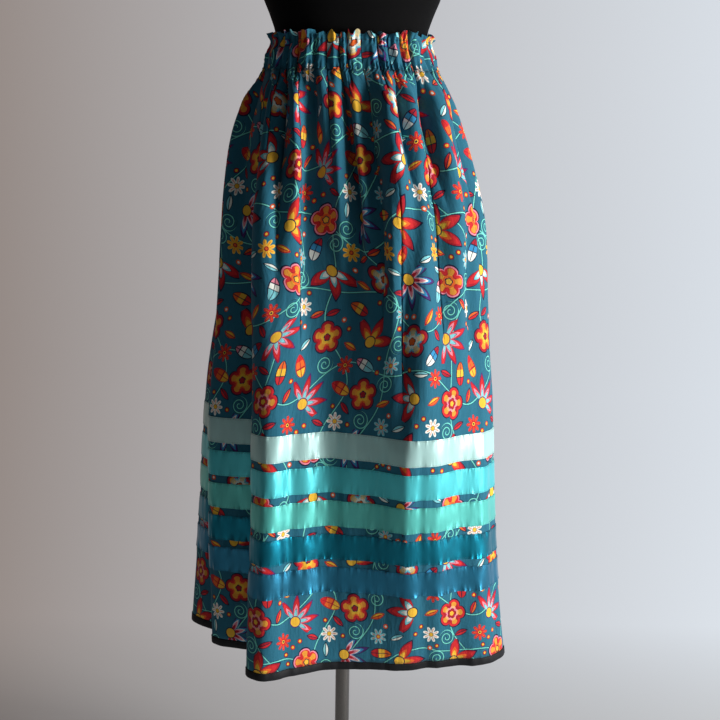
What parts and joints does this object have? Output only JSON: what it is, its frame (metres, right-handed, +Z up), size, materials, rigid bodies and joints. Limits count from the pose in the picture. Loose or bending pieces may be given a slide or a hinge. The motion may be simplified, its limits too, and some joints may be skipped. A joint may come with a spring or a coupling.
{
  "type": "ribbon skirt on a dress form",
  "caption": "Ankle-length gathered skirt with an elastic casing waist, satin ribbons sewn round above the hem and a bound edge, worn on a limbless torso form on a pole and round foot.",
  "frame": {"origin": "centre of the foot's flat underside, on the floor", "axes": "+Z up along the pole; the wearer's front faces -Y and their left-hand side as seen from the front is at -X"},
  "size_m": [0.4955, 0.3995, 1.7274],
  "materials": {
    "print_cotton": "matte woven cotton with a floral print",
    "ribbon_mint": "satin",
    "ribbon_aqua": "satin",
    "ribbon_turquoise": "satin",
    "ribbon_teal": "satin",
    "ribbon_petrol": "satin",
    "binding_black": "matte folded tape",
    "form_jersey": "matte stretched jersey",
    "stand_metal": "brushed"
  },
  "bodies": {
    "root": {"waist_casing": "print_cotton", "front_panel": "print_cotton", "back_panel": "print_cotton", "ribbon_1": "ribbon_mint", "ribbon_2": "ribbon_aqua", "ribbon_3": "ribbon_turquoise", "ribbon_4": "ribbon_teal", "ribbon_5": "ribbon_petrol", "hem_binding": "binding_black", "torso_form": "form_jersey", "neck_cap": "stand_metal", "pole_socket": "stand_metal", "pole": "stand_metal", "foot_collar": "stand_metal", "foot": "stand_metal"}
  },
  "joints": []
}
